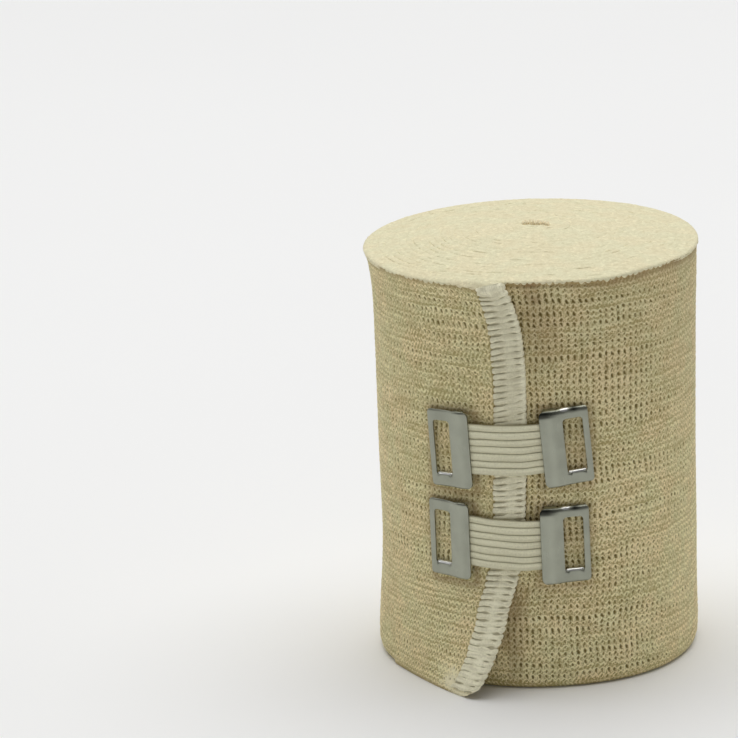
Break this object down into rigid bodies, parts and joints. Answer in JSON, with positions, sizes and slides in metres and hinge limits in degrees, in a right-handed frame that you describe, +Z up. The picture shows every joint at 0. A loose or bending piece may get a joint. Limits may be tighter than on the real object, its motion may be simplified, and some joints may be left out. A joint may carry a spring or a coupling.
{
  "type": "long stretch bandage roll with elastic clips",
  "caption": "Wide elastic bandage wound into a roll and standing on end, its overlocked loose end held by small metal-ended elastic clips.",
  "frame": {"origin": "on the flat base at the roll's axis, where it stands", "axes": "+Z up along the roll's axis, -Y is the side with the clips, +X to the right seen from there"},
  "size_m": [0.0791, 0.0836, 0.1033],
  "materials": {
    "bandage_cloth": "matt, coarse cream and tan elastic weave with ribs along the roll and rows of small gaps",
    "overlock_thread": "matt, soft cream sewing thread",
    "clip_metal": "satin bright sheet metal with rolled shiny edges",
    "clip_elastic": "matt ribbed cream elastic"
  },
  "bodies": {
    "root": {"bandage_roll": "bandage_cloth", "loose_end": "bandage_cloth", "overlock_edge": "overlock_thread", "clip_upper_plate_left": "clip_metal", "clip_upper_plate_right": "clip_metal", "clip_upper_elastic": "clip_elastic", "clip_lower_plate_left": "clip_metal", "clip_lower_plate_right": "clip_metal", "clip_lower_elastic": "clip_elastic"}
  },
  "joints": []
}
